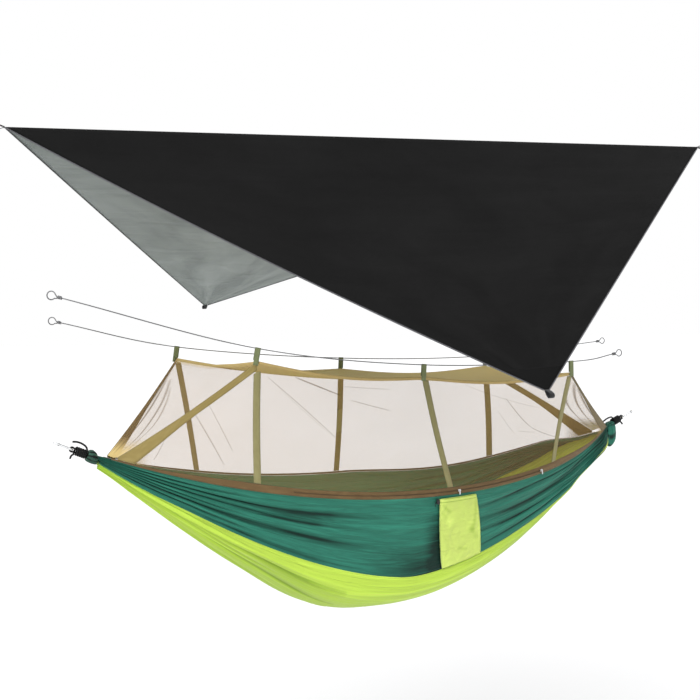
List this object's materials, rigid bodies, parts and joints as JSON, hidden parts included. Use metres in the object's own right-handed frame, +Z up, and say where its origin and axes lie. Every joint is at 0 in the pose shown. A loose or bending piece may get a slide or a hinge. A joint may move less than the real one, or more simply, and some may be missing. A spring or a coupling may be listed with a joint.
{
  "type": "hammock tent",
  "caption": "Cloth hammock closed by a net tent on ridge cords, hung from sprung hooks at gathered ends, under a diagonal tarp.",
  "frame": {"origin": "inside of the crown of the left hook, where it hangs from a tree strap", "axes": "+X along the hammock to its right end, -Y towards the side with the pocket, +Z up"},
  "size_m": [3.319, 2.7598, 1.9652],
  "materials": {
    "green_cloth": "crisp woven nylon with a soft sheen",
    "lime_cloth": "crisp woven nylon with a soft sheen",
    "pocket_cloth": "crisp woven nylon",
    "channel_cloth": "gathered nylon",
    "net": "fine see-through mesh",
    "rim_tape": "woven tape",
    "net_tape": "woven tape",
    "slanted_tape": "woven tape",
    "hanger_webbing": "woven webbing",
    "grey_cord": "braided cord",
    "rope": "braided rope",
    "steel": "bright",
    "dark_steel": "blackened",
    "spring_steel": "drawn wire",
    "zip_nylon": "coiled teeth",
    "zip_metal": "plated",
    "black_plastic": "moulded",
    "tarp_cloth": "matt outside, silver coating below",
    "tarp_patch": "doubled cloth",
    "black_webbing": "woven webbing"
  },
  "bodies": {
    "hung_frame": {"left_carabiner_frame": "steel", "left_gate_rivet": "dark_steel", "right_carabiner_frame": "steel", "right_gate_rivet": "dark_steel", "near_ridge_cord": "grey_cord", "far_ridge_cord": "grey_cord", "near_left_hanger": "hanger_webbing", "near_middle_hanger": "hanger_webbing", "near_right_hanger": "hanger_webbing", "far_left_hanger": "hanger_webbing", "far_middle_hanger": "hanger_webbing", "far_right_hanger": "hanger_webbing", "near_top_binding": "net_tape", "far_top_binding": "net_tape", "near_net_wall": "net", "far_net_wall": "net", "net_roof": "net", "near_left_band": "slanted_tape", "near_right_band": "slanted_tape", "far_left_band": "slanted_tape", "far_right_band": "slanted_tape", "near_left_tape": "net_tape", "near_middle_tape": "net_tape", "near_right_tape": "net_tape", "far_left_tape": "net_tape", "far_middle_tape": "net_tape", "far_right_tape": "net_tape", "tarp_left_loop": "black_webbing", "tarp_right_loop": "black_webbing"},
    "hammock": {"left_rope_loop": "rope", "left_rope_lashing": "rope", "left_end_channel": "channel_cloth", "right_rope_loop": "rope", "right_rope_lashing": "rope", "right_end_channel": "channel_cloth", "near_panel": "green_cloth", "centre_panel": "lime_cloth", "far_panel": "green_cloth", "near_rim_band": "rim_tape", "far_rim_band": "rim_tape", "zip_coil": "zip_nylon", "pocket_bag": "pocket_cloth", "pocket_drawcord": "rope", "pocket_cord_lock": "black_plastic", "cord_lock_spring": "spring_steel"},
    "left_gate": {"left_carabiner_gate": "steel", "left_gate_spring": "spring_steel"},
    "right_gate": {"right_carabiner_gate": "steel", "right_gate_spring": "spring_steel"},
    "left_slider": {"zip_left_slider": "zip_metal"},
    "left_pull": {"zip_left_pull": "zip_metal"},
    "right_slider": {"zip_right_slider": "zip_metal"},
    "right_pull": {"zip_right_pull": "zip_metal"},
    "lock_plunger": {"cord_lock_plunger": "black_plastic"},
    "tarp_near_flap": {"tarp_near_half": "tarp_cloth", "tarp_near_patch": "tarp_patch", "tarp_near_loop": "black_webbing"},
    "tarp_far_flap": {"tarp_far_half": "tarp_cloth", "tarp_far_patch": "tarp_patch", "tarp_far_loop": "black_webbing"}
  },
  "joints": [
    {"name": "hammock_rock", "type": "hinge", "parent": "hung_frame", "child": "hammock", "pos_m": [0.06259, 0, -0.02657], "axis": [1, 0, 0], "range_deg": [-8, 8], "deforming": ["near_net_wall", "far_net_wall", "net_roof", "near_left_band", "near_right_band", "far_left_band", "far_right_band", "near_left_tape", "near_middle_tape", "near_right_tape", "far_left_tape", "far_middle_tape", "far_right_tape"]},
    {"name": "left_gate_hinge", "type": "hinge", "parent": "hung_frame", "child": "left_gate", "pos_m": [0.01179, -0.00918, -0.005], "axis": [0.3907, 0, 0.9205], "range_deg": [0, 25], "stiffness_Nm_per_rad": 0.05, "springref_deg": -11.46},
    {"name": "right_gate_hinge", "type": "hinge", "parent": "hung_frame", "child": "right_gate", "pos_m": [2.67566, -0.00918, -0.005], "axis": [0.3907, 0, -0.9205], "range_deg": [0, 25], "stiffness_Nm_per_rad": 0.05, "springref_deg": -11.46},
    {"name": "left_slider_run", "type": "hinge", "parent": "hammock", "child": "left_slider", "pos_m": [1.34372, 1.4463, 0.95706], "axis": [0, -0.5446, 0.8387], "range_deg": [-17.9, 5.4]},
    {"name": "right_slider_run", "type": "hinge", "parent": "hammock", "child": "right_slider", "pos_m": [1.34372, 1.4463, 0.95706], "axis": [0, -0.5446, 0.8387], "range_deg": [-5.6, 0.1]},
    {"name": "left_pull_swing", "type": "hinge", "parent": "left_slider", "child": "left_pull", "pos_m": [1.48105, -0.38458, -0.2279], "axis": [0.998, 0.0527, 0.0342], "range_deg": [-150, 0]},
    {"name": "right_pull_swing", "type": "hinge", "parent": "right_slider", "child": "right_pull", "pos_m": [1.92711, -0.32168, -0.18705], "axis": [0.9637, 0.2239, 0.1454], "range_deg": [-150, 0]},
    {"name": "lock_plunger_press", "type": "slide", "parent": "hammock", "child": "lock_plunger", "axis": [0, 0, -1], "range_m": [0, 0.003], "stiffness_N_per_m": 300, "springref_m": -0.002, "deforming": ["cord_lock_spring"]},
    {"name": "tarp_near_fold", "type": "hinge", "parent": "hung_frame", "child": "tarp_near_flap", "pos_m": [-0.16628, 0, 1.11275], "axis": [0.9993, 0, 0.0378], "range_deg": [-45, 15]},
    {"name": "tarp_far_fold", "type": "hinge", "parent": "hung_frame", "child": "tarp_far_flap", "pos_m": [-0.16628, 0, 1.11275], "axis": [0.9993, 0, 0.0378], "range_deg": [-32, 30]}
  ]
}
